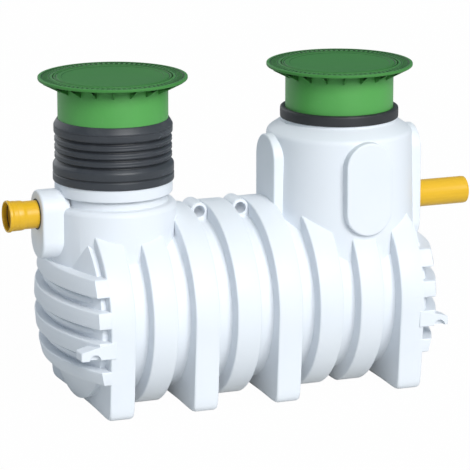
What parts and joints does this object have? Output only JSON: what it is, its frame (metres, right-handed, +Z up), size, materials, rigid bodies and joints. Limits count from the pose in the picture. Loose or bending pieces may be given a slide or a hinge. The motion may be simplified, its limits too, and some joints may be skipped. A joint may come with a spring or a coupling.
{
  "type": "grease separator",
  "caption": "Horizontal ribbed white plastic underground grease separator tank with feet, domed ends, inlet and outlet pipes and green telescopic shafts with covers.",
  "frame": {"origin": "on the ground, midway between the ends of the two pipes, on the tank's centre plane", "axes": "+Z up, +X along the tank from inlet to outlet, +Y to the back"},
  "size_m": [2.846, 1.14, 1.884],
  "materials": {
    "tank_polyethylene": "satin, slightly grained",
    "pipe_pvc": "smooth, semi-gloss",
    "seal_rubber": "matt",
    "riser_polyethylene": "satin",
    "shaft_polypropylene": "satin",
    "cover_polypropylene": "satin, grained"
  },
  "bodies": {
    "tank": {"barrel_rib_1": "tank_polyethylene", "barrel_rib_2": "tank_polyethylene", "barrel_rib_3": "tank_polyethylene", "barrel_rib_4": "tank_polyethylene", "barrel_rib_5": "tank_polyethylene", "barrel_rib_6": "tank_polyethylene", "barrel_rib_7": "tank_polyethylene", "barrel_rib_8": "tank_polyethylene", "barrel_ring_1": "tank_polyethylene", "barrel_ring_2": "tank_polyethylene", "barrel_ring_3": "tank_polyethylene", "barrel_ring_4": "tank_polyethylene", "barrel_ring_5": "tank_polyethylene", "barrel_ring_6": "tank_polyethylene", "barrel_ring_7": "tank_polyethylene", "inlet_end": "tank_polyethylene", "outlet_end": "tank_polyethylene", "inlet_tower": "tank_polyethylene", "inlet_neck": "tank_polyethylene", "inlet_collar": "tank_polyethylene", "inlet_boss": "tank_polyethylene", "outlet_tower": "tank_polyethylene", "inlet_lug": "tank_polyethylene", "outlet_lug": "tank_polyethylene", "lifting_eye_1": "tank_polyethylene", "lifting_eye_2": "tank_polyethylene", "socket_seal": "seal_rubber", "inlet_seal": "seal_rubber", "outlet_seal": "seal_rubber", "riser_seal": "seal_rubber", "ring_seal": "seal_rubber", "inlet_pipe": "pipe_pvc", "outlet_pipe": "pipe_pvc", "riser_sleeve": "riser_polyethylene"},
    "inlet_telescope": {"inlet_shaft": "shaft_polypropylene", "inlet_frame": "shaft_polypropylene"},
    "outlet_telescope": {"outlet_shaft": "shaft_polypropylene", "outlet_frame": "shaft_polypropylene"},
    "inlet_lid": {"inlet_cover": "cover_polypropylene"},
    "outlet_lid": {"outlet_cover": "cover_polypropylene"}
  },
  "joints": [
    {"name": "inlet_telescope_slide", "type": "slide", "parent": "tank", "child": "inlet_telescope", "axis": [0, 0, 1], "range_m": [-0.12, 0.12]},
    {"name": "outlet_telescope_slide", "type": "slide", "parent": "tank", "child": "outlet_telescope", "axis": [0, 0, 1], "range_m": [-0.12, 0.12]},
    {"name": "inlet_cover_lift", "type": "slide", "parent": "inlet_telescope", "child": "inlet_lid", "axis": [0, 0, 1], "range_m": [0, 0.3]},
    {"name": "outlet_cover_lift", "type": "slide", "parent": "outlet_telescope", "child": "outlet_lid", "axis": [0, 0, 1], "range_m": [0, 0.3]}
  ]
}
